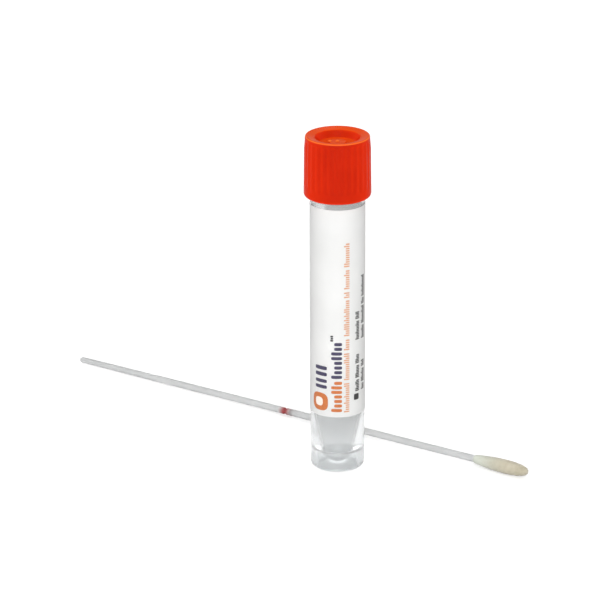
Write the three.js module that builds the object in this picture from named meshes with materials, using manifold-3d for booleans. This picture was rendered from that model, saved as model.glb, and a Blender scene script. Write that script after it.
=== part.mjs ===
// Specimen swab tube: a self-standing transport tube with its screw cap, and the swab that
// goes with it lying on the bench behind. Millimetres, +Z up, the bench at z = 0.
import * as THREE from 'three';
import { mergeVertices } from 'three/addons/utils/BufferGeometryUtils.js';
import Module from 'manifold-3d';

const wasm = await Module();
wasm.setup();

// Tube: one clear moulding with a conical well inside and an open skirt under it
const tubeRadius = 7.95;
const tubeHeight = 99.7;
const tubeWall = 1.1;
const wellTopHeight = 29.8;
const wellFloorHeight = 2.5;
const wellTipRadius = 2.9;
const wellWall = 1.15;
const skirtWall = 2.05;
const skirtRoofHeight = 5.6;
const skirtRoofRounding = 1.1;
const skirtDraft = 0.2;
const footRounding = 1.6;
const neckStep = 0.25;
const neckLength = 15.6;
const lipRounding = 0.3;

// Cap: one moulding with a ribbed skirt, a dished top, a plug for the bore and a swab socket
const capWall = 1.5;
const capTopWall = 1.4;
const capOverhang = 0.45;
const capShoulderDrop = 4;
const capShoulderTaper = 0.15;
const capRimTaper = 0.45;
const capRimWidth = 2.2;
const capEdgeRounding = 0.5;
const capHemRounding = 1;
const threadDepth = 0.5;
const threadPlay = 0.15;
const ribCount = 30;
const ribDepth = 0.3;
const ribTopDrop = 0.9;
const ribBottomRise = 3.05;
const dishDepth = 2.2;
const dishSlope = 0.5;
const dishFloorWall = 1.2;
const dishFloorRounding = 0.5;
const plugLength = 2.2;
const plugWall = 1.1;
const plugPlay = 0.12;
const plugLead = 0.8;
const bossRadius = 2.6;
const bossHeight = 0.8;
const socketLength = 7;
const socketWall = 1.1;
const socketGrip = 0.1;
const socketLead = 1;

// Seal: a flat ring between the tube's lip and the cap
const sealThickness = 0.8;
const sealPlay = 0.05;

// Label: thin film around the tube, open along a strip behind and to the left
const labelBottom = 17.7;
const labelTopMargin = 2.45;
const labelThickness = 0.12;
const labelPlay = 0.05;
const labelGapAngle = THREE.MathUtils.degToRad(44);
const labelGapMiddle = THREE.MathUtils.degToRad(144);

// Transport medium: the liquid that nearly fills the well
const mediumDrop = 0.2;
const mediumPlay = 0.05;

// Swab: a moulded shaft with a snap point, and a flocked tip over its end
const shaftRadius = 1.05;
const handleRadius = 0.9;
const handleTaper = 40;
const swabLength = 168.5;
const snapDistance = 88;
const snapDepth = 0.45;
const snapHalfWidth = 0.5;
const tipLength = 18.6;
const tipRadius = 2.25;
const tipNeckFibre = 0.3;
const tipEndFibre = 2.6;
const tipBluntness = 2.5;
const tipPlay = 0.05;

// Where the swab's tip ends on the bench, from the tube's axis, and the way the swab points
const swabEndX = 55.82;
const swabEndY = -12.8;
const swabTurn = THREE.MathUtils.degToRad(-35.6);

const roundSegments = 48;
const capSegments = 60;
const swabSegments = 16;
const tipSteps = 6;

// Sizes that follow from the ones above
const boreRadius = tubeRadius - tubeWall;
const neckRadius = tubeRadius - neckStep;
const neckFoot = tubeHeight - neckLength;
const wellTipHeight = wellFloorHeight + wellTipRadius;
const sealedHeight = tubeHeight + sealThickness + 2 * sealPlay;
const capTop = sealedHeight + capTopWall;
const capBottom = neckFoot - capOverhang;
const capInside = neckRadius + threadDepth + threadPlay;
const capRadius = capInside + capWall;
const capRimRadius = capRadius - capRimTaper;
const tipWidest = swabLength - 0.45 * tipLength;

const v2 = (x, y) => new THREE.Vector2(x, y);

// Points of an arc round (cx, cy) between two angles in degrees, both ends included
function arc(cx, cy, radius, from, to, steps) {
  const points = [];
  for (let i = 0; i <= steps; i += 1) {
    const angle = THREE.MathUtils.degToRad(from + ((to - from) * i) / steps);
    points.push(v2(cx + radius * Math.cos(angle), cy + radius * Math.sin(angle)));
  }
  return points;
}

// A body of revolution about Z: the profile is radius against height, anticlockwise
function turned(profile, segments) {
  const geometry = new THREE.LatheGeometry(profile, segments);
  geometry.rotateX(Math.PI / 2);
  return geometry;
}

function toManifold(geometry) {
  const bare = geometry.clone();
  bare.deleteAttribute('normal');
  bare.deleteAttribute('uv');
  const merged = mergeVertices(bare, 1e-4);
  return new wasm.Manifold(new wasm.Mesh({
    numProp: 3,
    vertProperties: new Float32Array(merged.attributes.position.array),
    triVerts: new Uint32Array(merged.index.array),
  }));
}

function toGeometry(manifold) {
  const mesh = manifold.getMesh();
  const geometry = new THREE.BufferGeometry();
  geometry.setAttribute('position', new THREE.BufferAttribute(mesh.vertProperties, 3));
  geometry.setIndex(new THREE.BufferAttribute(mesh.triVerts, 1));
  geometry.computeVertexNormals();
  return geometry;
}

function part(name, geometry, look) {
  const mesh = new THREE.Mesh(geometry, new THREE.MeshStandardMaterial(look));
  mesh.name = name;
  return mesh;
}

// The well's wall slopes from its round tip to the bore, touching the tip's circle
function wellLean() {
  const rise = wellTopHeight - wellTipHeight;
  const toCorner = Math.hypot(rise, boreRadius);
  return Math.atan2(boreRadius, rise) - Math.asin(wellTipRadius / toCorner);
}

// The well's round tip from the axis to where the wall starts, drawn in by an inset
function wellTip(inset) {
  const lean = THREE.MathUtils.radToDeg(wellLean());
  return arc(0, wellTipHeight, wellTipRadius - inset, -90, -lean, 6);
}

function wellRadiusAt(height, inset) {
  const lean = wellLean();
  const onTip = wellTipHeight - wellTipRadius * Math.sin(lean);
  const atTip = wellTipRadius * Math.cos(lean);
  return atTip + (height - onTip) * Math.tan(lean) - inset / Math.cos(lean);
}

function tubeGeometry() {
  const rounding = skirtRoofRounding;
  const wellSide = wellRadiusAt(skirtRoofHeight, -wellWall);
  const skirtInside = tubeRadius - skirtWall;
  const roofSide = skirtInside - skirtDraft;
  const profile = [
    ...wellTip(-wellWall),
    v2(wellSide, skirtRoofHeight),
    ...arc(roofSide - rounding, skirtRoofHeight - rounding, rounding, 90, 0, 3),
    v2(skirtInside, 0),
    ...arc(tubeRadius - footRounding, footRounding, footRounding, -90, 0, 5),
    v2(tubeRadius, neckFoot - neckStep),
    v2(neckRadius, neckFoot),
    ...arc(neckRadius - lipRounding, tubeHeight - lipRounding, lipRounding, 0, 90, 2),
    ...arc(boreRadius + lipRounding, tubeHeight - lipRounding, lipRounding, 90, 180, 2),
    v2(boreRadius, wellTopHeight),
    ...wellTip(0).reverse(),
  ];
  return turned(profile, roundSegments);
}

function labelGeometry() {
  const inner = tubeRadius + labelPlay;
  const outer = inner + labelThickness;
  const start = labelGapMiddle + labelGapAngle / 2;
  const end = labelGapMiddle - labelGapAngle / 2 + 2 * Math.PI;
  const shape = new THREE.Shape();
  shape.absarc(0, 0, outer, start, end, false);
  shape.absarc(0, 0, inner, end, start, true);
  shape.closePath();
  const geometry = new THREE.ExtrudeGeometry(shape, {
    depth: neckFoot - labelTopMargin - labelBottom,
    bevelEnabled: false,
    curveSegments: roundSegments,
  });
  geometry.translate(0, 0, labelBottom);
  return geometry;
}

function mediumGeometry() {
  const level = wellTopHeight - mediumDrop;
  const profile = [
    ...wellTip(mediumPlay),
    v2(wellRadiusAt(level, mediumPlay), level),
    v2(0, level),
  ];
  return turned(profile, roundSegments);
}

// Everything on the cap that is round: skirt, dished top, plug and socket
function capBody() {
  const plugOutside = boreRadius - plugPlay;
  const plugInside = plugOutside - plugWall;
  const dishRadius = capRimRadius - capEdgeRounding - capRimWidth;
  const floorTop = capTop - dishSlope - dishDepth;
  const floorUnder = floorTop - dishFloorWall;
  const floorEdge = plugInside - dishFloorRounding / 2;
  const plugEnd = floorUnder - plugLength;
  const socketInside = shaftRadius - socketGrip;
  const socketOutside = socketInside + socketWall;
  const socketEnd = floorUnder - socketLength;
  const bossTop = floorTop + bossHeight;
  const profile = [
    v2(0, floorUnder),
    v2(socketInside, floorUnder - socketWall / 2),
    v2(socketInside, socketEnd + socketLead),
    v2(socketOutside - socketWall / 3, socketEnd),
    v2(socketOutside, socketEnd),
    v2(socketOutside, floorUnder),
    v2(plugInside, floorUnder),
    v2(plugInside, plugEnd),
    v2(plugOutside - plugLead / 2, plugEnd),
    v2(plugOutside, plugEnd + plugLead),
    v2(plugOutside, sealedHeight),
    v2(capInside, sealedHeight),
    v2(capInside, capBottom + threadPlay),
    v2(capInside + threadPlay, capBottom),
    ...arc(capRadius - capHemRounding, capBottom + capHemRounding, capHemRounding, -90, 0, 4),
    v2(capRadius - capShoulderTaper, capTop - capShoulderDrop),
    ...arc(capRimRadius - capEdgeRounding, capTop - capEdgeRounding, capEdgeRounding, 0, 90, 4),
    v2(dishRadius, capTop - dishSlope),
    v2(floorEdge + dishFloorRounding, floorTop + dishFloorRounding),
    v2(floorEdge, floorTop),
    v2(bossRadius, floorTop),
    v2(bossRadius, bossTop - bossHeight / 4),
    v2(bossRadius - bossHeight / 4, bossTop),
    v2(0, bossTop),
  ];
  return toManifold(turned(profile, capSegments));
}

// The ring of material outside the ribs: a plain disc with the ribbed outline as its hole
function ribCutter() {
  const samples = 6 * ribCount;
  const outline = [];
  for (let i = 0; i < samples; i += 1) {
    const angle = (2 * Math.PI * i) / samples;
    const swell = 0.5 + 0.5 * Math.cos(ribCount * angle);
    const radius = capRadius - ribDepth * (1 - swell);
    outline.push(v2(radius * Math.cos(angle), radius * Math.sin(angle)));
  }
  const shape = new THREE.Shape();
  shape.absarc(0, 0, capRadius + 1, 0, 2 * Math.PI, false);
  shape.holes.push(new THREE.Path(outline));
  const geometry = new THREE.ExtrudeGeometry(shape, {
    depth: capTop - ribTopDrop - ribBottomRise - capBottom,
    bevelEnabled: false,
    curveSegments: capSegments,
  });
  geometry.translate(0, 0, capBottom + ribBottomRise);
  return toManifold(geometry);
}

function capGeometry() {
  return toGeometry(capBody().subtract(ribCutter()));
}

function sealGeometry() {
  const inside = boreRadius + sealPlay;
  const outside = neckRadius + threadDepth;
  const bottom = tubeHeight + sealPlay;
  const top = bottom + sealThickness;
  const profile = [
    v2(inside, bottom),
    v2(outside, bottom),
    v2(outside, top),
    v2(inside, top),
    v2(inside, bottom),
  ];
  return turned(profile, roundSegments);
}

// The shaft stands on its handle end here; the swab group lays it down
function shaftGeometry() {
  const snapHeight = swabLength - snapDistance;
  const coreTop = swabLength - tipEndFibre;
  const edge = shaftRadius / 4;
  const profile = [
    ...arc(0, handleRadius, handleRadius, -90, 0, 4),
    v2(shaftRadius, handleTaper),
    v2(shaftRadius, snapHeight - snapHalfWidth),
    v2(shaftRadius - snapDepth, snapHeight),
    v2(shaftRadius, snapHeight + snapHalfWidth),
    v2(shaftRadius, coreTop - edge),
    v2(shaftRadius - edge, coreTop),
    v2(0, coreTop),
  ];
  return turned(profile, swabSegments);
}

// The tip is a sleeve of fibre: it swells from the shaft to its widest in a quarter sine and
// closes in a quarter of a superellipse, which is blunter than an ellipse
function tipGeometry() {
  const bore = shaftRadius + tipPlay;
  const start = swabLength - tipLength;
  const coreTop = swabLength - tipEndFibre + tipPlay;
  const neck = shaftRadius + tipNeckFibre;
  const profile = [v2(0, coreTop), v2(bore, coreTop), v2(bore, start)];
  for (let i = 0; i <= tipSteps; i += 1) {
    const angle = (Math.PI / 2) * (i / tipSteps);
    const height = start + (tipWidest - start) * (i / tipSteps);
    profile.push(v2(neck + (tipRadius - neck) * Math.sin(angle), height));
  }
  for (let i = 1; i <= tipSteps; i += 1) {
    const rise = Math.sin((Math.PI / 2) * (i / tipSteps));
    const radius = tipRadius * (1 - rise ** tipBluntness) ** (1 / tipBluntness);
    profile.push(v2(radius, tipWidest + (swabLength - tipWidest) * rise));
  }
  return turned(profile, swabSegments);
}

// Laid on the bench: the handle's round end and the fullest part of the tip touch it
function layDown(swab) {
  const tilt = Math.asin((tipRadius - handleRadius) / (tipWidest - handleRadius));
  const axis = new THREE.Vector3(
    Math.cos(swabTurn) * Math.cos(tilt),
    Math.sin(swabTurn) * Math.cos(tilt),
    Math.sin(tilt),
  );
  swab.quaternion.setFromUnitVectors(new THREE.Vector3(0, 0, 1), axis);
  const restHeight = handleRadius - handleRadius * Math.sin(tilt);
  const end = new THREE.Vector3(swabEndX, swabEndY, restHeight + swabLength * Math.sin(tilt));
  swab.position.copy(end.addScaledVector(axis, -swabLength));
}

const clearPlastic = { color: 0xe6e9ea, roughness: 0.12, metalness: 0, transparent: true, opacity: 0.45 };
const capPlastic = { color: 0xd92b12, roughness: 0.32, metalness: 0 };
const sealRubber = { color: 0xd9d6cf, roughness: 0.6, metalness: 0 };
const labelFilm = { color: 0xf7f8f8, roughness: 0.45, metalness: 0 };
const mediumLiquid = { color: 0xdfe3e4, roughness: 0.05, metalness: 0, transparent: true, opacity: 0.4 };
const shaftPlastic = { color: 0xc9c9c9, roughness: 0.4, metalness: 0 };
const tipFlock = { color: 0xe8e2cf, roughness: 0.95, metalness: 0 };

const swab = new THREE.Group();
swab.add(
  part('swab_shaft', shaftGeometry(), shaftPlastic),
  part('swab_tip', tipGeometry(), tipFlock),
);
layDown(swab);

const specimenSwabTube = new THREE.Group();
specimenSwabTube.add(
  part('specimen_tube', tubeGeometry(), clearPlastic),
  part('tube_label', labelGeometry(), labelFilm),
  part('transport_medium', mediumGeometry(), mediumLiquid),
  part('cap_seal_ring', sealGeometry(), sealRubber),
  part('screw_cap', capGeometry(), capPlastic),
  swab,
);

// The origin is the centre of the whole set's box, on the bench
const centre = new THREE.Box3().setFromObject(specimenSwabTube, true).getCenter(new THREE.Vector3());
specimenSwabTube.position.set(-centre.x, -centre.y, 0);

export default specimenSwabTube;
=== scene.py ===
import math

import bpy
import numpy as np
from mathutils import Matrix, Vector


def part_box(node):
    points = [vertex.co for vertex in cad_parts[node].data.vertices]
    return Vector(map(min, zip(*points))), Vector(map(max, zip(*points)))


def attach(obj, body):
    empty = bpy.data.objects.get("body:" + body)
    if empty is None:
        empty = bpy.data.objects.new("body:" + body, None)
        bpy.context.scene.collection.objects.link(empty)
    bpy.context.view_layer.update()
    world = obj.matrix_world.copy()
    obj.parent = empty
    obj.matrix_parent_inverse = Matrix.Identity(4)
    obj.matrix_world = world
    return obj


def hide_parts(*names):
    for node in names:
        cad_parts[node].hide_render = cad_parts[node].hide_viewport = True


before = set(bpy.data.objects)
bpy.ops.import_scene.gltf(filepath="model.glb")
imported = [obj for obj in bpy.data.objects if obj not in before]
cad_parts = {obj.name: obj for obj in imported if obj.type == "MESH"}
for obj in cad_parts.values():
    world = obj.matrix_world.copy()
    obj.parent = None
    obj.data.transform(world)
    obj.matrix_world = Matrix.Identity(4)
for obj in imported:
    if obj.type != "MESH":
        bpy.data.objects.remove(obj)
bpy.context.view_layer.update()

mm = 0.001
scene = bpy.context.scene

# Where the CAD solids stand and how large they are, in millimetres
tubeLow, tubeHigh = (np.array(c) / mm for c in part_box("specimen_tube"))
capLow, capHigh = (np.array(c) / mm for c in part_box("screw_cap"))
labelLow, labelHigh = (np.array(c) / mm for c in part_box("tube_label"))
axisX, axisY = (tubeLow[:2] + tubeHigh[:2]) / 2
tubeR = (tubeHigh[0] - tubeLow[0]) / 2
tubeTop = tubeHigh[2]
capTop, capBottom = capHigh[2], capLow[2]
capR = (capHigh[0] - capLow[0]) / 2
labelR = (labelHigh[0] - labelLow[0]) / 2
standing = (np.array([axisX, axisY, 0.0]), *np.eye(3))  # the axis's foot and three directions


# A list of corners (radius, height, fillet) becomes a line with each corner rounded by an arc
# that touches both its sides; a fillet of 0 keeps the corner.
def roundedLine(corners, steps=6):
    line = []
    last = len(corners) - 1
    for i, corner in enumerate(corners):
        here = np.array(corner[:2], float)
        fillet = corner[2] if len(corner) > 2 else 0
        if fillet == 0 or i in (0, last):
            line.append(here)
            continue
        before = np.array(corners[i - 1][:2], float) - here
        after = np.array(corners[i + 1][:2], float) - here
        a = before / np.linalg.norm(before)
        b = after / np.linalg.norm(after)
        half = math.acos(np.clip(a @ b, -1, 1)) / 2
        centre = here + (a + b) / np.linalg.norm(a + b) * fillet / math.sin(half)
        start = here + a * fillet / math.tan(half) - centre
        end = here + b * fillet / math.tan(half) - centre
        turn = math.atan2(start[0] * end[1] - start[1] * end[0], start @ end)
        for t in np.linspace(0, turn, steps + 1):
            c, s = math.cos(t), math.sin(t)
            line.append(centre + np.array([c * start[0] - s * start[1], s * start[0] + c * start[1]]))
    return np.array(line)


# Splits every stretch of a line into equal shorter ones, none longer than stepAt its middle.
def spaced(line, stepAt):
    pieces = []
    for a, b in zip(line[:-1], line[1:]):
        count = max(1, math.ceil(np.linalg.norm(b - a) / stepAt((a + b) / 2)))
        pieces.append(a + (b - a) * np.linspace(0, 1, count, endpoint=False)[:, None])
    pieces.append(line[-1:])
    return np.concatenate(pieces)


# Quads between neighbouring rows and columns of a grid, and between its last and first ones
# where it closes on itself.
def gridFaces(rows, columns, closedRows=False, wrapped=True):
    r = np.arange(rows if closedRows else rows - 1)[:, None]
    c = np.arange(columns if wrapped else columns - 1)[None, :]
    r2, c2 = (r + 1) % rows, (c + 1) % columns
    quads = np.stack([r * columns + c, r * columns + c2, r2 * columns + c2, r2 * columns + c], -1)
    return quads.reshape(-1, 4)


def makeMesh(name, verts, faces, sharp=35):
    mesh = bpy.data.meshes.new(name)
    mesh.from_pydata(verts.tolist(), [], [f.tolist() for f in faces])
    mesh.polygons.foreach_set("use_smooth", [True] * len(mesh.polygons))
    mesh.update()
    mesh.set_sharp_from_angle(angle=math.radians(sharp))
    piece = bpy.data.objects.new(name, mesh)
    scene.collection.objects.link(piece)
    return piece


# A vector of each vertex, "co" for its place in metres, as rows of three
def perVertex(vectors, name):
    flat = np.empty(len(vectors) * 3)
    vectors.foreach_get(name, flat)
    return flat.reshape(-1, 3)


# Writes one number for each vertex, for the piece's material to read
def markVertices(piece, name, values):
    piece.data.attributes.new(name, "FLOAT", "POINT").data.foreach_set("value", values)


# A surface of revolution: row i of the profile is a circle of radius r[i] at height z[i], its
# radius changed by ripple(angle, r, z). A profile that starts or ends on the axis closes with
# a fan round one point; one that does neither closes on itself. place is the axis's foot and
# three directions: angle 0, angle 90 and the axis itself.
def revolved(name, profile, columns, ripple=None, place=None, sharp=35):
    foot, across, beside, along = place or standing
    angle = np.linspace(0, 2 * math.pi, columns, endpoint=False)
    onAxis = [abs(profile[0, 0]) < 1e-6, abs(profile[-1, 0]) < 1e-6]
    ring = profile[1 if onAxis[0] else 0:-1 if onAxis[1] else None]
    r = ring[:, :1] + 0 * angle
    z = ring[:, 1:] + 0 * angle
    if ripple:
        r = r + ripple(angle[None, :], r, z)
    local = np.stack([r * np.cos(angle), r * np.sin(angle), z], -1).reshape(-1, 3)
    rows = len(ring)
    faces = list(gridFaces(rows, columns, closedRows=not any(onAxis)))
    column = np.arange(columns)
    nextColumn = (column + 1) % columns
    if onAxis[0]:
        faces += list(np.stack([np.full(columns, len(local)), nextColumn, column], -1))
        local = np.concatenate([local, [[0, 0, profile[0, 1]]]])
    if onAxis[1]:
        top = (rows - 1) * columns
        faces += list(np.stack([np.full(columns, len(local)), top + column, top + nextColumn], -1))
        local = np.concatenate([local, [[0, 0, profile[-1, 1]]]])
    verts = foot + local[:, :1] * across + local[:, 1:2] * beside + local[:, 2:] * along
    return makeMesh(name, verts * mm, faces, sharp)


# 0 below low and 1 above high, and between them 3 t^2 - 2 t^3 of the share t
def smoothStep(x, low, high):
    t = np.clip((x - low) / (high - low), 0, 1)
    return t * t * (3 - 2 * t)


# An sRGB hex colour as linear light, with alpha 1
def linear(hexColour):
    srgb = np.array([int(hexColour[i:i + 2], 16) / 255 for i in (1, 3, 5)])
    rgb = np.where(srgb <= 0.04045, srgb / 12.92, ((srgb + 0.055) / 1.055) ** 2.4)
    return (*rgb.tolist(), 1.0)


# Adds one node: settings are its attributes or input values, links are input name to output.
def addNode(tree, kind, settings=None, links=None):
    node = tree.nodes.new(kind)
    for key, value in (settings or {}).items():
        if isinstance(key, str) and hasattr(node, key) and key not in node.inputs:
            setattr(node, key, value)
        else:
            node.inputs[key].default_value = value
    for key, output in (links or {}).items():
        tree.links.new(output, node.inputs[key])
    return node


def newMaterial(name):
    material = bpy.data.materials.new(name)
    material.use_nodes = True
    material.node_tree.nodes.clear()
    return material, material.node_tree


def finishMaterial(tree, shader):
    addNode(tree, "ShaderNodeOutputMaterial", links={"Surface": shader.outputs[0]})


# A colour that drifts between two near shades with a noise of the given size in millimetres
def driftingColour(tree, coords, size, dark, light, detail=3.0):
    noise = addNode(tree, "ShaderNodeTexNoise", {"Scale": 1 / (size * mm), "Detail": detail},
                    {"Vector": coords.outputs["Object"]})
    ramp = addNode(tree, "ShaderNodeValToRGB", links={"Fac": noise.outputs["Fac"]})
    ramp.color_ramp.elements[0].position = 0.3
    ramp.color_ramp.elements[0].color = linear(dark)
    ramp.color_ramp.elements[1].position = 0.7
    ramp.color_ramp.elements[1].color = linear(light)
    return noise, ramp


# Lets lamp light through a clear piece, so that its shadow is pale and its inside is lit
def letLampsThrough(tree, shader, share):
    path = addNode(tree, "ShaderNodeLightPath")
    through = addNode(tree, "ShaderNodeBsdfTransparent", {"Color": (share, share, share, 1)})
    return addNode(tree, "ShaderNodeMixShader",
                   links={0: path.outputs["Is Shadow Ray"], 1: shader.outputs[0],
                          2: through.outputs[0]})


# Polypropylene, injection moulded and unpigmented: clear but milky, so what is behind it blurs,
# and greyer towards the foot, a painted shade
def clearPolypropylene():
    material, tree = newMaterial("clearPolypropylene")
    coords = addNode(tree, "ShaderNodeTexCoord")
    noise, colour = driftingColour(tree, coords, 9, "#f0f2f3", "#f6f7f7")
    # painted shade: the plastic's colour turns greyer towards the bottom of the tube
    footShade = addNode(tree, "ShaderNodeAttribute", {"attribute_name": "paintedFootShade"})
    mix = addNode(tree, "ShaderNodeMix", {"data_type": "RGBA", 7: linear("#e2e5e6")},
                  {0: footShade.outputs["Fac"], 6: colour.outputs["Color"]})
    bump = addNode(tree, "ShaderNodeBump", {"Strength": 0.05, "Distance": 0.02 * mm},
                   {"Height": noise.outputs["Fac"]})
    shader = addNode(tree, "ShaderNodeBsdfPrincipled",
                     {"Roughness": 0.22, "IOR": 1.49, "Transmission Weight": 0.88},
                     {"Base Color": mix.outputs[2], "Normal": bump.outputs["Normal"]})
    finishMaterial(tree, letLampsThrough(tree, shader, 0.8))
    return material


# Saline medium: nearly clear liquid, a little greyer the deeper it is
def salineMedium():
    material, tree = newMaterial("salineMedium")
    coords = addNode(tree, "ShaderNodeTexCoord")
    _, colour = driftingColour(tree, coords, 6, "#fcfdfd", "#ffffff")
    shader = addNode(tree, "ShaderNodeBsdfPrincipled",
                     {"Roughness": 0.1, "IOR": 1.34, "Transmission Weight": 1.0},
                     {"Base Color": colour.outputs["Color"]})
    depth = addNode(tree, "ShaderNodeVolumeAbsorption", {"Density": 90.0, "Color": (0.5, 0.5, 0.5, 1)})
    through = letLampsThrough(tree, shader, 0.9)
    addNode(tree, "ShaderNodeOutputMaterial",
            links={"Surface": through.outputs[0], "Volume": depth.outputs[0]})
    return material


# Polypropylene, injection moulded in solid red-orange: satin, with a little light in its skin, and
# painted light: lighter where it turns from the view, more orange facing the sky, a highlight on the rim
def redPolypropylene():
    material, tree = newMaterial("redPolypropylene")
    coords = addNode(tree, "ShaderNodeTexCoord")
    _, colour = driftingColour(tree, coords, 7, "#b4200c", "#bd240e")
    # painted side light: a lighter red where the surface turns away from the view
    edge = addNode(tree, "ShaderNodeLayerWeight", {"Blend": 0.5})
    sideLightShare = addNode(tree, "ShaderNodeMapRange", {1: 0.02, 2: 0.5}, {0: edge.outputs["Facing"]})
    paintedSideLight = addNode(tree, "ShaderNodeMix", {"data_type": "RGBA", 7: linear("#e4300f")},
                       {0: sideLightShare.outputs[0], 6: colour.outputs["Color"]})
    # painted top light: more orange where the top surfaces face up
    paintedTopLight = addNode(tree, "ShaderNodeAttribute", {"attribute_name": "paintedTopLight"})
    upper = addNode(tree, "ShaderNodeMix", {"data_type": "RGBA", 7: linear("#df4810")},
                    {0: paintedTopLight.outputs["Fac"], 6: paintedSideLight.outputs[2]})
    # painted highlight: a pale orange line along the rim's rounding, and over the whole of each pip
    paintedHighlight = addNode(tree, "ShaderNodeAttribute", {"attribute_name": "paintedHighlight"})
    thin = addNode(tree, "ShaderNodeMix", {"data_type": "RGBA", 7: linear("#f27030")},
                   {0: paintedHighlight.outputs["Fac"], 6: upper.outputs[2]})
    grain = addNode(tree, "ShaderNodeTexNoise", {"Scale": 1 / (0.35 * mm), "Detail": 2.0},
                    {"Vector": coords.outputs["Object"]})
    bump = addNode(tree, "ShaderNodeBump", {"Strength": 0.12, "Distance": 0.02 * mm},
                   {"Height": grain.outputs["Fac"]})
    shader = addNode(tree, "ShaderNodeBsdfPrincipled",
                     {"Roughness": 0.28, "IOR": 1.49, "Specular IOR Level": 0.015, "Subsurface Weight": 0.12,
                      "Subsurface Radius": (1.2 * mm, 0.3 * mm, 0.1 * mm), "Subsurface Scale": 1.0},
                     {"Base Color": thin.outputs[2], "Normal": bump.outputs["Normal"]})
    finishMaterial(tree, shader)
    return material


# Silicone rubber, moulded: pale and dull
def paleSilicone():
    material, tree = newMaterial("paleSilicone")
    coords = addNode(tree, "ShaderNodeTexCoord")
    noise, colour = driftingColour(tree, coords, 2, "#dcd8cf", "#e6e2da")
    bump = addNode(tree, "ShaderNodeBump", {"Strength": 0.2, "Distance": 0.02 * mm},
                   {"Height": noise.outputs["Fac"]})
    shader = addNode(tree, "ShaderNodeBsdfPrincipled", {"Roughness": 0.6, "IOR": 1.41},
                     {"Base Color": colour.outputs["Color"], "Normal": bump.outputs["Normal"]})
    finishMaterial(tree, shader)
    return material


# Polypropylene label film, cast white and coated satin: a little light comes through it
def satinLabelFilm():
    material, tree = newMaterial("satinLabelFilm")
    coords = addNode(tree, "ShaderNodeTexCoord")
    _, colour = driftingColour(tree, coords, 12, "#f3f3f2", "#f8f8f7")
    tooth = addNode(tree, "ShaderNodeTexNoise", {"Scale": 1 / (0.25 * mm), "Detail": 3.0},
                    {"Vector": coords.outputs["Object"]})
    bump = addNode(tree, "ShaderNodeBump", {"Strength": 0.15, "Distance": 0.01 * mm},
                   {"Height": tooth.outputs["Fac"]})
    skin = addNode(tree, "ShaderNodeBsdfPrincipled", {"Roughness": 0.42, "IOR": 1.5},
                   {"Base Color": colour.outputs["Color"], "Normal": bump.outputs["Normal"]})
    through = addNode(tree, "ShaderNodeBsdfTranslucent", links={"Color": colour.outputs["Color"]})
    shader = addNode(tree, "ShaderNodeMixShader", {0: 0.36}, {1: skin.outputs[0], 2: through.outputs[0]})
    finishMaterial(tree, letLampsThrough(tree, shader, 0.3))
    return material


# Printed ink: the film's own satin under a colour that is a little uneven
def printedInk(name, dark, light):
    material, tree = newMaterial(name)
    coords = addNode(tree, "ShaderNodeTexCoord")
    _, colour = driftingColour(tree, coords, 0.8, dark, light)
    shader = addNode(tree, "ShaderNodeBsdfPrincipled", {"Roughness": 0.45, "IOR": 1.5},
                     {"Base Color": colour.outputs["Color"]})
    finishMaterial(tree, shader)
    return material


# Polystyrene, injection moulded, natural: cloudy and see-through, so light passes round in it,
# and closed by the ink where it is marked
def naturalPolystyrene():
    material, tree = newMaterial("naturalPolystyrene")
    coords = addNode(tree, "ShaderNodeTexCoord")
    _, colour = driftingColour(tree, coords, 5, "#d0d1d1", "#dadbdb")
    ink = addNode(tree, "ShaderNodeAttribute", {"attribute_name": "snapInk"})
    mix = addNode(tree, "ShaderNodeMix", {"data_type": "RGBA", 7: linear("#8c1a1e")},
                  {0: ink.outputs["Fac"], 6: colour.outputs["Color"]})
    clear = addNode(tree, "ShaderNodeMapRange", {1: 0.0, 2: 0.6, 3: 0.88, 4: 0.0},
                    {0: ink.outputs["Fac"]})
    shader = addNode(tree, "ShaderNodeBsdfPrincipled",
                     {"Roughness": 0.45, "IOR": 1.59, "Subsurface Weight": 0.5,
                      "Subsurface Radius": (1.5 * mm, 1.5 * mm, 1.5 * mm), "Subsurface Scale": 1.0},
                     {"Base Color": mix.outputs[2], "Transmission Weight": clear.outputs[0]})
    finishMaterial(tree, shader)
    return material


# Nylon flock: short upright fibres, dull and soft at the edge
def creamFlock():
    material, tree = newMaterial("creamFlock")
    coords = addNode(tree, "ShaderNodeTexCoord")
    _, colour = driftingColour(tree, coords, 1.6, "#b9b19a", "#c9c2ae", 5.0)
    pale = addNode(tree, "ShaderNodeAttribute", {"attribute_name": "paleEnd"})
    mix = addNode(tree, "ShaderNodeMix", {"data_type": "RGBA", 7: linear("#d4d8cc")},
                  {0: pale.outputs["Fac"], 6: colour.outputs["Color"]})
    fibre = addNode(tree, "ShaderNodeTexNoise", {"Scale": 1 / (0.12 * mm), "Detail": 4.0},
                    {"Vector": coords.outputs["Object"]})
    bump = addNode(tree, "ShaderNodeBump", {"Strength": 0.6, "Distance": 0.08 * mm},
                   {"Height": fibre.outputs["Fac"]})
    shader = addNode(tree, "ShaderNodeBsdfPrincipled",
                     {"Roughness": 0.95, "Sheen Weight": 0.35, "Sheen Roughness": 0.5},
                     {"Base Color": mix.outputs[2], "Normal": bump.outputs["Normal"]})
    finishMaterial(tree, shader)
    return material


def dress(piece, *materials):
    for material in materials:
        piece.data.materials.append(material)


# The tube: sizes in millimetres, heights from the bench
tube = {
    "wall": 1.1, "well top": 29.8, "well floor": 2.5, "well tip radius": 2.9, "well wall": 1.15,
    "skirt wall": 2.05, "skirt draft": 0.2, "skirt roof": 5.6, "foot rounding": 1.6,
    "shade full below": 3.4, "shade gone above": 5.2,
    "neck step": 0.25, "neck length": 15.6, "lip rounding": 0.3,
    "thread height": 0.42, "thread width": 1.0, "lead": 6.0, "starts": 2,
    "thread low": 88.0, "thread high": 97.6, "thread fade": 0.8, "columns": 192,
}


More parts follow.
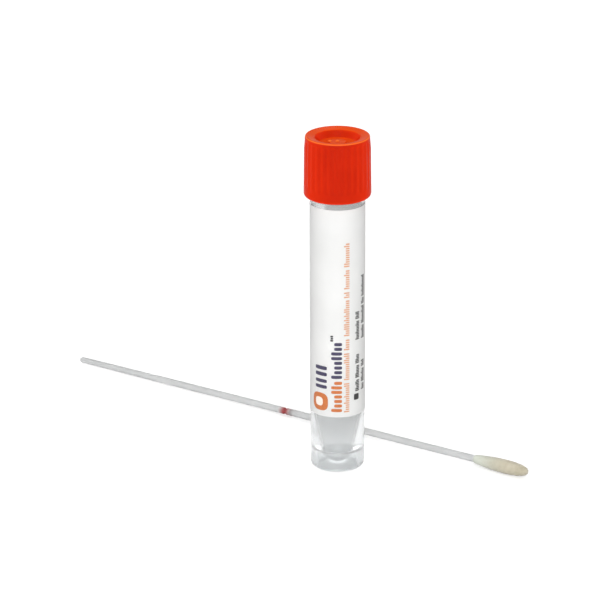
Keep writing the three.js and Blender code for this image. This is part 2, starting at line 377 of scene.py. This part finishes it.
# The slope of the well's wall, which touches the circle of the tip and ends at the bore.
def wellLean():
    rise = tube["well top"] - tube["well floor"] - tube["well tip radius"]
    bore = tubeR - tube["wall"]
    return math.atan2(bore, rise) - math.asin(tube["well tip radius"] / math.hypot(rise, bore))


# The well's line from the axis to its top, moved inwards by inset: a round tip, then a straight.
def wellLine(inset, steps=14):
    lean = wellLean()
    centre = tube["well floor"] + tube["well tip radius"]
    radius = tube["well tip radius"] - inset
    a = np.linspace(-math.pi / 2, -lean, steps)
    return np.stack([radius * np.cos(a), centre + radius * np.sin(a)], -1)


def wellRadius(height, inset):
    tip = wellLine(inset)[-1]
    return tip[0] + (height - tip[1]) * math.tan(wellLean())


# How far a two-start thread stands out: a rounded ridge that climbs by the lead each turn and
# fades at the owner's two thread heights. shift moves it up by a share of the pitch.
def threadRidge(angle, z, owner, shift):
    pitch = tube["lead"] / tube["starts"]
    phase = (z / pitch - tube["starts"] * angle / (2 * math.pi) + shift) % 1 - 0.5
    across = np.abs(phase) * pitch / (owner["thread width"] / 2)
    low, high, fade = owner["thread low"], owner["thread high"], tube["thread fade"]
    ends = smoothStep(z, low, low + fade) * (1 - smoothStep(z, high - fade, high))
    return owner["thread height"] * (1 - smoothStep(across, 0.55, 1.25)) * ends


def makeTube():
    bore = tubeR - tube["wall"]
    neck = tubeR - tube["neck step"]
    shoulder = tubeTop - tube["neck length"]
    lip = tube["lip rounding"]
    skirtIn = tubeR - tube["skirt wall"]
    roofIn = skirtIn - tube["skirt draft"]
    under = wellLine(-tube["well wall"])
    wellSide = wellRadius(tube["skirt roof"], -tube["well wall"])
    outside = roundedLine([
        under[-1],
        (wellSide, tube["skirt roof"], 0.3),
        (roofIn, tube["skirt roof"], 1.1),
        (skirtIn, 0, 0.12),
        (tubeR, 0, tube["foot rounding"]),
        (tubeR, shoulder - tube["neck step"], 0.3),
        (neck, shoulder, 0.3),
        (neck, tubeTop, lip),
        (bore, tubeTop, lip),
        (bore, tube["well top"], 6),
        wellLine(0)[-1],
    ], 8)
    onNeck = lambda point: point[0] > neck - 0.01 and point[1] > shoulder
    outside = spaced(outside, lambda point: 0.16 if onNeck(point) else 0.9)
    line = np.concatenate([under[:-1], outside[:-1], wellLine(0)[::-1]])

    def thread(angle, r, z):
        return np.where(r > neck - 0.01, threadRidge(angle, z, tube, 0), 0)

    piece = revolved("tubeShell", line, tube["columns"], thread)
    height = perVertex(piece.data.vertices, "co")[:, 2] / mm
    # painted shade at the foot: full below the first height, gone above the second
    markVertices(piece, "paintedFootShade", 1 - smoothStep(height, tube["shade full below"], tube["shade gone above"]))
    dress(piece, clearPolypropylene())
    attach(piece, "tube")
    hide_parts("specimen_tube")
    print("tube made")


# The liquid in the well
medium = {"level": 29.6, "overlap": 0.02, "meniscus": 0.5, "meniscus reach": 0.7, "columns": 128}


def makeMedium():
    overlap = medium["overlap"]
    tip = wellLine(-overlap)
    rim = wellRadius(medium["level"], -overlap)
    # the surface climbs to the wall by the meniscus, as e to the power of minus the distance
    r = np.linspace(rim, 0, 14)
    z = medium["level"] - medium["meniscus"] * (1 - np.exp(-(rim - r) / medium["meniscus reach"]))
    side = spaced(np.array([tip[-1], [rim, medium["level"]]]), lambda point: 1.5)[1:-1]
    line = np.concatenate([tip, side, np.stack([r, z], -1)])
    piece = revolved("mediumLiquid", line, medium["columns"])
    dress(piece, salineMedium())
    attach(piece, "tube")
    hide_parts("transport_medium")
    print("medium made")


# The label: its gap is in degrees, counted from +X
label = {"gap": 44, "gap middle": 144, "thickness": 0.12, "edge rounding": 0.04, "edge margin": 2,
         "columns": 180, "rows": 24}


# A curved sheet with thickness: angle goes round the tube, height up it, and the closed strip
# of four faces front, edge, back, edge is carried along the height.
def makeLabel():
    half = math.radians(180 - label["gap"] / 2)
    angle = np.linspace(-half, half, label["columns"]) + math.radians(label["gap middle"] - 180)
    outer = labelR
    inner = labelR - label["thickness"]
    roundOff, margin = label["edge rounding"], label["edge margin"]
    low, high = labelLow[2], labelHigh[2]
    strip = np.array([(inner, low + roundOff), (inner + roundOff, low), (outer - roundOff, low),
                      (outer, low + roundOff)])
    up = np.linspace(low + margin, high - margin, label["rows"])
    front = np.stack([np.full_like(up, outer), up], -1)
    topStrip = np.array([(outer, high - roundOff), (outer - roundOff, high),
                         (inner + roundOff, high), (inner, high - roundOff)])
    back = np.stack([np.full_like(up, inner), up[::-1]], -1)
    section = np.concatenate([strip, front, topStrip, back])
    r, z = section[:, :1], section[:, 1:]
    verts = np.stack([axisX + r * np.cos(angle), axisY + r * np.sin(angle), z + 0 * angle], -1)
    rows, columns = verts.shape[:2]
    firstCap = np.arange(rows) * columns
    lastCap = firstCap + columns - 1
    faces = [*gridFaces(rows, columns, closedRows=True, wrapped=False), firstCap, lastCap[::-1]]
    piece = makeMesh("labelSheet", verts.reshape(-1, 3) * mm, faces)
    dress(piece, satinLabelFilm())
    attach(piece, "tube")
    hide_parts("tube_label")
    print("label made")


# The print: base and angle are degrees round the tube from its front, the rest is in millimetres
inkShape = {"step": 0.3, "proud": 0.012, "sunk": 0.02}
inkRows = {
    "emblem": {"angle": -39.5, "height": 22.2, "size": 5.5, "window": 2.7, "window raised": 0.01},
    "heading": {"seed": 3, "base": -22.5, "stroke": 1.0, "space": 0.75, "low": 3.9, "tall": 4.1},
    "title": {"seed": 5, "base": 9.4, "stroke": 1.0, "space": 0.45, "low": 2.3, "tall": 3.2},
    "subtitle": {"seed": 7, "base": 25.5, "stroke": 0.44, "space": 0.22, "low": 1.2, "tall": 1.75},
    "first note": {"seed": 11, "base": 51, "stroke": 0.36, "space": 0.13, "low": 1.2, "tall": 1.6},
    "second note": {"seed": 13, "base": 70, "stroke": 0.36, "space": 0.13, "low": 1.4, "tall": 1.8},
    "symbol": {"angle": 43, "height": 23.5, "size": 1.9, "across": 1.9},
    "superscript": {"seed": 17, "base": -9, "stroke": 0.55, "space": 0.12, "low": 0.75, "tall": 0.85},
}


# A flat shape wrapped on the label, as a grid: columns go round the tube and rows up it. Its
# outline is a superellipse: at the fraction c of its half width the half length is its whole
# times (1 - c^n)^(1/n). An outer and an inner sheet, joined at the rim, give it a thin body.
def inkPatch(angle, height, acrossArc, upLength, squareness=6, raised=0.0):
    columns = max(7, int(acrossArc / inkShape["step"]) | 1)
    rows = max(5, int(upLength / inkShape["step"]) | 1)
    c = np.sin(np.linspace(-1, 1, columns) * math.pi / 2) * 0.995
    reach = (1 - np.abs(c) ** squareness) ** (1 / squareness)
    up = height + np.linspace(-1, 1, rows)[:, None] * reach * upLength / 2
    turn = math.radians(angle - 90) + c * acrossArc / 2 / labelR + 0 * up
    sheets = []
    for radius in (labelR + inkShape["proud"] + raised, labelR - inkShape["sunk"]):
        sheets.append(np.stack([axisX + radius * np.cos(turn), axisY + radius * np.sin(turn), up], -1))
    front = gridFaces(rows, columns, wrapped=False)
    count = rows * columns
    bottom = np.arange(columns)
    right = np.arange(1, rows) * columns + columns - 1
    top = (rows - 1) * columns + np.arange(columns - 2, -1, -1)
    left = np.arange(rows - 2, 0, -1) * columns
    rim = np.concatenate([bottom, right, top, left])
    edge = np.stack([rim, rim + count, np.roll(rim, -1) + count, np.roll(rim, -1)], -1)
    faces = [*front, *(front[:, ::-1] + count), *edge]
    return np.concatenate(sheets).reshape(-1, 3), faces


# A row of strokes that climbs the tube and stands on the angle base. Each run is the height
# where strokes start and the one where they end. About one stroke in three is tall.
def strokes(row, runs):
    rng = np.random.default_rng(row["seed"])
    patches = []
    for start, end in runs:
        count = max(1, round((end - start + row["space"]) / (row["stroke"] + row["space"])))
        step = (end - start + row["space"]) / count
        for i in range(count):
            tall = row["tall"] if i == 0 or rng.random() < 0.3 else row["low"]
            centre = row["base"] - math.degrees(tall / 2 / labelR)
            patches.append(inkPatch(centre, start + i * step + (step - row["space"]) / 2, tall,
                                    step - row["space"], 5))
    return patches


def makeInk(name, patches, material):
    verts, faces, count = [], [], 0
    for patchVerts, patchFaces in patches:
        verts.append(patchVerts)
        faces += [f + count for f in patchFaces]
        count += len(patchVerts)
    piece = makeMesh(name, np.concatenate(verts) * mm, faces)
    dress(piece, material)
    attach(piece, "tube")


def makePrint():
    emblem, symbol = inkRows["emblem"], inkRows["symbol"]
    size, window = emblem["size"], emblem["window"]
    orange = [inkPatch(emblem["angle"], emblem["height"], size, size, 3)]
    orange += strokes(inkRows["title"], [(19.4, 28.9)])
    pale = [inkPatch(emblem["angle"] - 2, emblem["height"], window, window, 3, emblem["window raised"])]
    navy = strokes(inkRows["heading"], [(26.4, 29.3), (30.3, 33.4)])
    navy += strokes(inkRows["title"], [(29.8, 41.0)])
    fine = strokes(inkRows["subtitle"], [(19.2, 28.3), (29.3, 37.6), (38.6, 41.9), (43, 54), (54.8, 56.5),
                                         (57.5, 63.3), (64.3, 71.5)])
    dark = [inkPatch(symbol["angle"], symbol["height"], symbol["across"], symbol["size"], 8)]
    dark += strokes(inkRows["superscript"], [(41.4, 43.2)])
    dark += strokes(inkRows["first note"], [(25.2, 28.7), (29.4, 33.2), (33.9, 36.6), (41.3, 47.0),
                                            (47.7, 49.9)])
    dark += strokes(inkRows["second note"], [(25.2, 27.0), (27.6, 31.6), (32.4, 34.3), (41.2, 45.1),
                                             (45.8, 51.2), (51.8, 53.6), (54.2, 60.6)])
    makeInk("inkOrange", orange, printedInk("orangeInk", "#bb6630", "#c8733b"))
    makeInk("inkWindow", pale, printedInk("paleInk", "#f0e2d6", "#f6ebe2"))
    makeInk("inkNavy", navy, printedInk("navyInk", "#34304a", "#403c58"))
    makeInk("inkFine", fine, printedInk("paleOrangeInk", "#d29a76", "#dcaa8a"))
    makeInk("inkDark", dark, printedInk("blackInk", "#1c1b1b", "#282626"))
    print("print made")


# The cap: thread low and high are heights from the bench, and the pips are places on the boss,
# from the axis of the cap
cap = {
    "top wall": 1.4, "inside radius": 8.35, "shoulder drop": 4, "shoulder taper": 0.15,
    "rim taper": 0.45, "rim width": 2.2, "rim rounding": 0.5, "rim crest": 0.113, "hem rounding": 1.1,
    "ribs": 30, "rib depth": 0.15, "rib top drop": 0.9, "rib bottom rise": 3.2,
    "dish slope": 0.5, "dish depth": 2.2, "floor wall": 1.2,
    "plug length": 2.2, "plug wall": 1.1, "plug play": 0.12, "plug lead": 0.8,
    "boss radius": 2.6, "boss height": 0.8, "socket radius": 0.95, "socket wall": 1.1,
    "socket length": 7, "thread height": 0.4, "thread width": 1.0,
    "thread low": 88.5, "thread high": 98.6, "columns": 330,
    "pips": [(0.0, 0.0), (-2.25, 0.1)], "pip radius": 0.55, "pip height": 0.4, "pip root": 0.05,
    "highlight depth": 1.0,
}


def makeCap():
    plug = tubeR - tube["wall"] - cap["plug play"]
    plugIn = plug - cap["plug wall"]
    floorTop = capTop - cap["dish slope"] - cap["dish depth"]
    floorUnder = floorTop - cap["floor wall"]
    plugEnd = floorUnder - cap["plug length"]
    socketOut = cap["socket radius"] + cap["socket wall"]
    socketEnd = floorUnder - cap["socket length"]
    sealed = capTop - cap["top wall"]
    rim = capR - cap["rim taper"]
    dish = rim - cap["rim rounding"] - cap["rim width"]
    bossTop = floorTop + cap["boss height"]
    inside = cap["inside radius"]
    line = roundedLine([
        (0, floorUnder - 0.1),
        (cap["socket radius"], floorUnder - 0.5, 0.3),
        (cap["socket radius"], socketEnd + 1, 0.4),
        (socketOut - 0.35, socketEnd, 0.15),
        (socketOut, socketEnd, 0.15),
        (socketOut, floorUnder, 0.4),
        (plugIn, floorUnder, 0.4),
        (plugIn, plugEnd, 0.2),
        (plug - 0.4, plugEnd, 0.15),
        (plug, plugEnd + cap["plug lead"], 0.6),
        (plug, sealed, 0.1),
        (inside, sealed, 0.3),
        (inside, capBottom, 0.15),
        (capR, capBottom, cap["hem rounding"]),
        (capR - cap["shoulder taper"], capTop - cap["shoulder drop"], 4),
        (rim, capTop + cap["rim crest"], cap["rim rounding"]),
        (dish, capTop - cap["dish slope"], 0.5),
        (plugIn - 0.1, floorTop, 0.7),
        (cap["boss radius"], floorTop, 0.25),
        (cap["boss radius"], bossTop, 0.25),
        (0, bossTop),
    ], 6)
    line = spaced(line, lambda point: 0.3 if point[0] > inside - 0.01 and point[1] < sealed else 0.7)

    # outside, ribs swell and sink with the cosine of thirty times the angle; inside, the
    # thread's ridge stands in from the wall, half a pitch from the tube's own
    def ribsAndThread(angle, r, z):
        low, high = capBottom + cap["rib bottom rise"], capTop - cap["rib top drop"]
        within = smoothStep(z, low - 0.4, low + 0.9) * (1 - smoothStep(z, high - 0.7, high))
        valley = 0.5 - 0.5 * np.cos(cap["ribs"] * (angle + math.pi / 2) + 0.55)
        ribs = -cap["rib depth"] * valley * within
        onWall = np.abs(r - inside) < 0.01
        return np.where(r > rim - 0.35, ribs, np.where(onWall, -threadRidge(angle, z, cap, 0.5), 0))

    piece = revolved("capMoulding", line, cap["columns"], ribsAndThread)
    # the painted top light grows as the surface turns up; the painted highlight is the rounding of
    # the rim, where the surface is halfway through that turn
    facesUp = perVertex(piece.data.vertex_normals, "vector")[:, 2]
    place = perVertex(piece.data.vertices, "co") / mm - standing[0]
    markVertices(piece, "paintedTopLight", smoothStep(facesUp, 0.35, 0.95) * (place[:, 2] > floorTop - 0.1))
    turning = smoothStep(facesUp, 0.2, 0.6) * (1 - smoothStep(facesUp, 0.8, 0.98))
    depth = cap["highlight depth"]
    onRim = (place[:, 2] > capTop - depth) & (np.hypot(place[:, 0], place[:, 1]) > dish + depth)
    markVertices(piece, "paintedHighlight", turning * onRim)
    dress(piece, redPolypropylene())
    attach(piece, "cap")
    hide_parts("screw_cap")
    print("cap made")


# Two small domes left by the mould's gates on the boss: each is a quarter ellipse turned round
def makePips():
    radius, rise = cap["pip radius"], cap["pip height"]
    foot = capTop - cap["dish slope"] - cap["dish depth"] + cap["boss height"]
    turn = np.linspace(0, math.pi / 2, 7)
    line = np.stack([radius * np.cos(turn), rise * np.sin(turn)], -1)
    root = -cap["pip root"]
    line = np.concatenate([[(0, root), (radius, root)], line[:-1], [(0, rise)]])
    for i, (across, beside) in enumerate(cap["pips"]):
        place = (np.array([axisX + across, axisY + beside, foot]), *standing[1:])
        piece = revolved(f"capPip{i + 1}", line, 24, place=place)
        # the whole pip takes the painted highlight colour
        markVertices(piece, "paintedHighlight", np.ones(len(piece.data.vertices)))
        dress(piece, redPolypropylene())
        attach(piece, "cap")
    print("pips made")


# The seal: a flat ring with rounded edges, as large as its CAD solid
seal = {"play": 0.05, "rounding": 0.2, "columns": 96}


def makeSeal():
    low, high = (np.array(c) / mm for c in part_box("cap_seal_ring"))
    outer = (high[0] - low[0]) / 2
    inner = tubeR - tube["wall"] + seal["play"]
    rounding = seal["rounding"]
    seam = (inner, (low[2] + high[2]) / 2)
    line = roundedLine([seam, (inner, low[2], rounding), (outer, low[2], rounding),
                        (outer, high[2], rounding), (inner, high[2], rounding), seam], 4)[:-1]
    piece = revolved("sealRing", line, seal["columns"])
    dress(piece, paleSilicone())
    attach(piece, "seal")
    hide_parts("cap_seal_ring")
    print("seal made")


# The swab: lengths run from its handle's end, and its tip ends at end x and end y from the tube
swab = {
    "length": 168.5, "turn": -35.6, "end x": 55.82, "end y": -12.8,
    "radius": 1.05, "handle radius": 0.9, "handle taper": 40,
    "snap from tip": 88, "snap depth": 0.42, "snap half width": 0.5, "ink half width": 0.66,
    "tip length": 18.6, "widest from end": 8.37, "tip radius": 2.02, "tip reach": 2.25,
    "neck radius": 1.22, "bluntness": 2.5, "end fibre": 2.6, "pale length": 12.5,
    "lump height": 0.03, "fibres": 9000, "fibre length": 0.32, "fibre width": 0.05,
    "fibre root": 0.04, "fibre lean": 0.55,
}


# The swab lies with its handle's round end and the fullest part of its tip on the bench.
def lying():
    turn = math.radians(swab["turn"])
    handle = swab["handle radius"]
    widest = swab["length"] - swab["widest from end"]
    tilt = math.asin((swab["tip reach"] - handle) / (widest - handle))
    along = np.array([math.cos(turn) * math.cos(tilt), math.sin(turn) * math.cos(tilt), math.sin(tilt)])
    across = np.array([-math.sin(turn), math.cos(turn), 0])
    beside = np.cross(along, across)
    rest = handle * (1 - math.sin(tilt))
    end = np.array([axisX + swab["end x"], axisY + swab["end y"], rest + swab["length"] * math.sin(tilt)])
    return end - along * swab["length"], across, beside, along


def makeShaft(place):
    radius, length = swab["radius"], swab["length"]
    snap = length - swab["snap from tip"]
    half, depth = swab["snap half width"], swab["snap depth"]
    core = length - swab["end fibre"]
    line = roundedLine([
        (0, 0),
        (swab["handle radius"], 0, swab["handle radius"] * 0.98),
        (radius, swab["handle taper"], 30),
        (radius, snap - half, 0.15),
        (radius - depth, snap, 0.12),
        (radius, snap + half, 0.15),
        (radius, core, 0.3),
        (0, core),
    ], 8)
    line = spaced(line, lambda point: 0.2 if abs(point[1] - snap) < 1.5 else 2.0)
    piece = revolved("swabRod", line, 48, place=place)
    away = np.abs((perVertex(piece.data.vertices, "co") / mm - place[0]) @ place[3] - snap)
    inkHalf = swab["ink half width"]
    markVertices(piece, "snapInk", 1 - smoothStep(away, inkHalf - 0.1, inkHalf + 0.25))
    dress(piece, naturalPolystyrene())
    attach(piece, "tube")
    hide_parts("swab_shaft")
    print("swab shaft made")


# The tip's radius at a distance back from its end: a quarter of a superellipse, which is
# blunter than an ellipse, out to the widest place, then a quarter sine down to the neck.
def tipRadiusAt(back):
    full, neck, widest = swab["tip radius"], swab["neck radius"], swab["widest from end"]
    n = swab["bluntness"]
    nose = full * np.clip(1 - np.abs(1 - back / widest) ** n, 0, 1) ** (1 / n)
    left = np.clip((swab["tip length"] - back) / (swab["tip length"] - widest), 0, 1)
    return np.where(back < widest, nose, neck + (full - neck) * np.sin(left * math.pi / 2))


def makeTip(place):
    length, widest = swab["length"], swab["widest from end"]
    bore = swab["radius"] + 0.03
    core = length - swab["end fibre"] + 0.03
    start = length - swab["tip length"]
    nose = widest * (1 - np.sin(np.linspace(0, math.pi / 2, 24)))
    back = np.concatenate([np.linspace(swab["tip length"] - 0.15, widest, 36), nose[1:]])
    back[-1] = 0
    outside = np.stack([tipRadiusAt(back), length - back], -1)
    sleeve = np.array([(0, core), (bore, core), (bore, start), (swab["neck radius"] - 0.08, start)])
    line = np.concatenate([sleeve, outside])

    # packed fibre isn't smooth: low waves of about a millimetre in both directions
    def lumps(angle, r, z):
        wave = np.sin(3 * angle + 1.7 * z) * np.sin(2.3 * z + 2 * angle) + 0.6 * np.sin(5 * angle - 2.9 * z)
        return np.where((r > bore + 0.1) & (z > start + 0.5), swab["lump height"] * wave, 0)

    piece = revolved("swabTip", line, 64, lumps, place=place, sharp=60)
    markPaleEnd(piece, place)
    dress(piece, creamFlock())
    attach(piece, "tube")
    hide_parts("swab_tip")
    fibres(place)
    print("swab tip made")


# The fibre is paler towards the shaft: 1 at the neck, falling to 0 over the pale length
def markPaleEnd(piece, place):
    along = (perVertex(piece.data.vertices, "co") / mm - place[0]) @ place[3]
    fromStart = along - (swab["length"] - swab["tip length"])
    markVertices(piece, "paleEnd", 1 - smoothStep(fromStart, 0, swab["pale length"]))


# Loose ends of fibre: each is a thin spike on a three-sided base, leaning off the surface's
# outward direction by a random amount.
def fibres(place):
    foot, across, beside, along = place
    rng = np.random.default_rng(11)
    count = swab["fibres"]
    back = rng.uniform(0.15, swab["tip length"] - 0.2, count)
    angle = rng.uniform(0, 2 * math.pi, count)
    r = tipRadiusAt(back)
    slope = (tipRadiusAt(back + 0.05) - tipRadiusAt(back - 0.05)) / 0.1
    radial = np.cos(angle)[:, None] * across + np.sin(angle)[:, None] * beside
    out = radial + slope[:, None] * along
    out /= np.linalg.norm(out, axis=1)[:, None]
    base = foot + (swab["length"] - back)[:, None] * along + (r - swab["fibre root"])[:, None] * radial
    lean = rng.normal(0, swab["fibre lean"], (count, 3))
    reach = swab["fibre length"] * rng.uniform(0.4, 1.0, count)[:, None]
    tip = base + (out + lean) / np.linalg.norm(out + lean, axis=1)[:, None] * reach
    limit = swab["tip reach"] - 0.01
    fromAxis = tip - foot
    fromAxis -= (fromAxis @ along)[:, None] * along
    far = np.linalg.norm(fromAxis, axis=1)
    tip -= fromAxis * np.maximum(0, 1 - limit / far)[:, None]
    side = np.cross(out, along + 0.01)
    side /= np.linalg.norm(side, axis=1)[:, None]
    other = np.cross(out, side)
    corners = []
    for turn in (0, 2 * math.pi / 3, 4 * math.pi / 3):
        corners.append(base + swab["fibre width"] / 2 * (math.cos(turn) * side + math.sin(turn) * other))
    verts = np.stack([*corners, tip], 1).reshape(-1, 3)
    spike = np.array([[0, 2, 1], [0, 1, 3], [1, 2, 3], [2, 0, 3]])
    faces = (spike[None] + 4 * np.arange(count)[:, None, None]).reshape(-1, 3)
    piece = makeMesh("swabFibres", verts * mm, list(faces), 180)
    markPaleEnd(piece, place)
    dress(piece, creamFlock())
    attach(piece, "tube")


# Floor, light and camera, in metres and degrees. The floor's glow starts at floor glow and grows
# to 1 between the two far distances. It is down to the shade glow under the tube, a painted shade
# inside the two shade distances from its axis, except in the patch centred behind the axis, a
# painted pool of the light that the full well focuses.
studio = {
    "floor size": 6.0, "floor colour": "#dcdcdc", "floor glow": 0.5, "far": (0.3, 1.5),
    "shade": (0.0056, 0.0084), "shade glow": 0.03,
    "patch": (0.002, 0.0036), "patch glow": 2.6, "patch behind": 0.0044,
    "world colour": "#ffffff", "world light": 0.32, "seen light": 1.0,
    "elevation": 19.75, "distance": 1.2, "lens": 246.15, "aim height": 0.05143, "shift": -0.0625,
}
lamps = {
    "keyBox": {"place": (-0.04, -1.0, 0.4), "size": (0.7, 0.7), "watts": 10.1},
    "leftBox": {"place": (-1.0, 0.15, 0.4), "size": (0.3, 0.7), "watts": 0.8},
    "rightBox": {"place": (1.0, 0.15, 0.4), "size": (0.3, 0.7), "watts": 1.1},
    "rimBox": {"place": (-0.6, 0.4, 0.7), "size": (0.12, 0.12), "watts": 0.6},
    "backBox": {"place": (0.1, 0.75, 0.75), "size": (0.2, 0.2), "watts": 0.8},
    "topBox": {"place": (0, 0.1, 1.2), "size": (1.0, 1.0), "watts": 4},
}


# Matt white paper. What the camera, a mirror or clear plastic sees of it is lifted to white,
# and the shadow on it stays.
def whitePaper():
    material, tree = newMaterial("whitePaper")
    diffuse = addNode(tree, "ShaderNodeBsdfDiffuse", {"Color": linear(studio["floor colour"])})
    seen = seenRays(tree, ["Camera", "Glossy", "Transmission"])
    coords = addNode(tree, "ShaderNodeTexCoord")
    axis = (axisX * mm, axisY * mm, 0)
    away = addNode(tree, "ShaderNodeVectorMath", {"operation": "DISTANCE", 1: axis},
                   {0: coords.outputs["Object"]})
    patch = (axis[0], axis[1] + studio["patch behind"], 0)
    behind = addNode(tree, "ShaderNodeVectorMath", {"operation": "DISTANCE", 1: patch},
                     {0: coords.outputs["Object"]})
    # under is the painted shade beneath the tube, and the third is the painted pool of light behind its axis
    under, far, paintedPool = (
        addNode(tree, "ShaderNodeMapRange",
                {"interpolation_type": "SMOOTHSTEP", 1: start, 2: end, 3: first, 4: last},
                {0: distance.outputs["Value"]})
        for distance, (start, end), first, last in (
            (away, studio["shade"], studio["shade glow"], 1.0),
            (away, studio["far"], studio["floor glow"], 1.0),
            (behind, studio["patch"], studio["patch glow"], 0.0)))
    near = addNode(tree, "ShaderNodeMath", {"operation": "ADD"},
                   {0: under.outputs[0], 1: paintedPool.outputs[0]})
    strength = addNode(tree, "ShaderNodeMath", {"operation": "MULTIPLY"},
                       {0: near.outputs[0], 1: far.outputs[0]})
    glow = addNode(tree, "ShaderNodeEmission", links={"Strength": strength.outputs[0]})
    none = addNode(tree, "ShaderNodeEmission", {"Strength": 0.0})
    lift = addNode(tree, "ShaderNodeMixShader", links={0: seen, 1: none.outputs[0], 2: glow.outputs[0]})
    both = addNode(tree, "ShaderNodeAddShader", links={0: diffuse.outputs[0], 1: lift.outputs[0]})
    finishMaterial(tree, both)
    return material


# 1 for a ray of any of the kinds named, such as "Camera" or "Glossy", 0 for one that has
# already bounced off a matt surface
def seenRays(tree, kinds):
    path = addNode(tree, "ShaderNodeLightPath")
    seen = path.outputs[f"Is {kinds[0]} Ray"]
    for kind in kinds[1:]:
        either = addNode(tree, "ShaderNodeMath", {"operation": "MAXIMUM"},
                         {0: seen, 1: path.outputs[f"Is {kind} Ray"]})
        seen = either.outputs[0]
    direct = addNode(tree, "ShaderNodeMath", {"operation": "LESS_THAN", 1: 0.5},
                     {0: path.outputs["Diffuse Depth"]})
    both = addNode(tree, "ShaderNodeMath", {"operation": "MULTIPLY"}, {0: seen, 1: direct.outputs[0]})
    return both.outputs[0]


def makeFloor():
    half = studio["floor size"] / 2
    corners = np.array([(-half, -half, 0), (half, -half, 0), (half, half, 0), (-half, half, 0)])
    floor = makeMesh("benchTop", corners, [np.arange(4)])
    dress(floor, whitePaper())


def makeWorld():
    world = bpy.data.worlds.new("studioWorld")
    world.use_nodes = True
    tree = world.node_tree
    tree.nodes.clear()
    soft, white = (addNode(tree, "ShaderNodeBackground",
                           {"Strength": studio[light], "Color": linear(studio["world colour"])})
                   for light in ("world light", "seen light"))
    mix = addNode(tree, "ShaderNodeMixShader",
                  links={0: seenRays(tree, ["Camera", "Glossy", "Transmission"]), 1: soft.outputs[0],
                         2: white.outputs[0]})
    addNode(tree, "ShaderNodeOutputWorld", links={"Surface": mix.outputs[0]})
    scene.world = world


# Rectangular soft boxes, each aimed at the middle of the tube from its place around it
def makeLights():
    middle = Vector((axisX, axisY, tubeTop / 2)) * mm
    for name, setting in lamps.items():
        lamp = bpy.data.lights.new(name, "AREA")
        lamp.shape = "RECTANGLE"
        lamp.size, lamp.size_y = setting["size"]
        lamp.energy = setting["watts"]
        box = bpy.data.objects.new(name, lamp)
        box.location = middle + Vector(setting["place"])
        box.rotation_euler = (-Vector(setting["place"])).to_track_quat("-Z", "Y").to_euler()
        scene.collection.objects.link(box)


# Looks down at the aim point from in front, by the elevation
def makeCamera():
    data = bpy.data.cameras.new("camera")
    data.lens = studio["lens"]
    data.sensor_width = 36
    data.shift_x = studio["shift"]
    data.clip_end = 50
    camera = bpy.data.objects.new("camera", data)
    tilt = math.radians(studio["elevation"])
    aim = Vector((axisX * mm, axisY * mm, studio["aim height"]))
    back = Vector((0, -math.cos(tilt), math.sin(tilt)))
    camera.location = aim + back * studio["distance"]
    camera.rotation_euler = (math.pi / 2 - tilt, 0, 0)
    scene.collection.objects.link(camera)
    scene.camera = camera


makeCamera()
makeTube()
makeMedium()
makeLabel()
makePrint()
makeCap()
makePips()
makeSeal()
swabPlace = lying()
makeShaft(swabPlace)
makeTip(swabPlace)
makeFloor()
makeWorld()
makeLights()
scene.view_settings.view_transform = "Standard"
print("floor and lights made")

print("scene ready")
